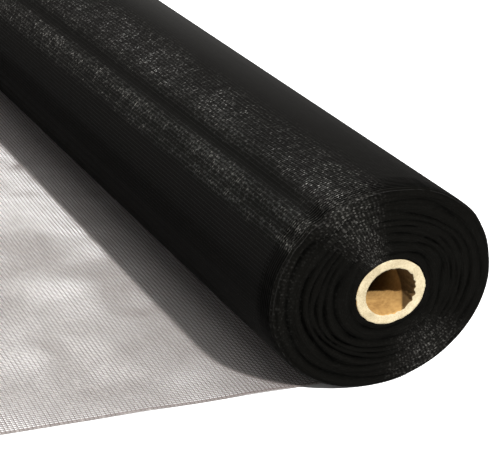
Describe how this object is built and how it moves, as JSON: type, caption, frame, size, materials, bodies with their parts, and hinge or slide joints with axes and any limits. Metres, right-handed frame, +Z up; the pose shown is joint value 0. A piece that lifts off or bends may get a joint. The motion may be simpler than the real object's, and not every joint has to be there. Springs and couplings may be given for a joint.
{
  "type": "roll of insect screen cloth",
  "caption": "Black woven insect screen cloth wound on a plain paper tube, lying on its side with a stretch of see-through cloth unrolled beside it.",
  "frame": {"origin": "middle of the flat spot under the roll, on the surface that it rests on", "axes": "+Z up, +Y along the roll's axis from the end that the picture shows to the hidden one, +X away from the loose end"},
  "size_m": [0.2967, 0.63, 0.0913],
  "materials": {
    "screen_cloth": "black vinyl-coated glass yarn, woven 18 by 14 to the inch, with a fine dry sparkle",
    "core_board": "raw spiral-wound board, cream at its cut ends and brown inside"
  },
  "bodies": {
    "root": {"screen_roll": "screen_cloth", "core_tube": "core_board", "loose_end": "screen_cloth"}
  },
  "joints": []
}
